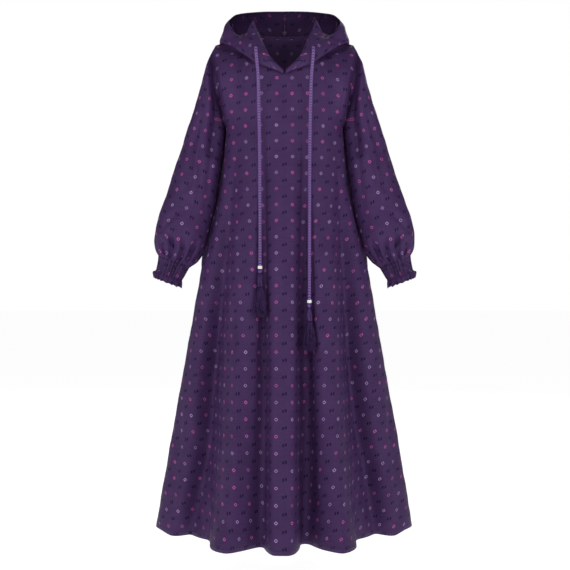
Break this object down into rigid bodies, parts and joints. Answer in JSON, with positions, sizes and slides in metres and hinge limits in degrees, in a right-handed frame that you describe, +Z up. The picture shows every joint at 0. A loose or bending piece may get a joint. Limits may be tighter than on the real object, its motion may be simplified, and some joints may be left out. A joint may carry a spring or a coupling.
{
  "type": "abaya",
  "caption": "Hooded, ankle-length abaya with balloon sleeves, gathered cuffs, a flared skirt and tasselled drawcords, in the hollow form it has when worn.",
  "frame": {"origin": "midway between the shoulders, at the height where the garment rests on the wearer's shoulders", "axes": "+Z up, the front faces -Y, +X to the wearer's left"},
  "size_m": [0.7344, 0.5669, 1.4919],
  "materials": {
    "cloth": "matte",
    "cord": "satin",
    "bead": "gloss",
    "tassel": "satin"
  },
  "bodies": {
    "root": {"front": "cloth", "back": "cloth", "sleeve_left": "cloth", "sleeve_right": "cloth", "cuff_left": "cloth", "cuff_right": "cloth", "hood_left": "cloth", "hood_right": "cloth", "cord_left": "cord", "cord_right": "cord", "bead_left": "bead", "bead_right": "bead", "tassel_left": "tassel", "tassel_right": "tassel"}
  },
  "joints": []
}
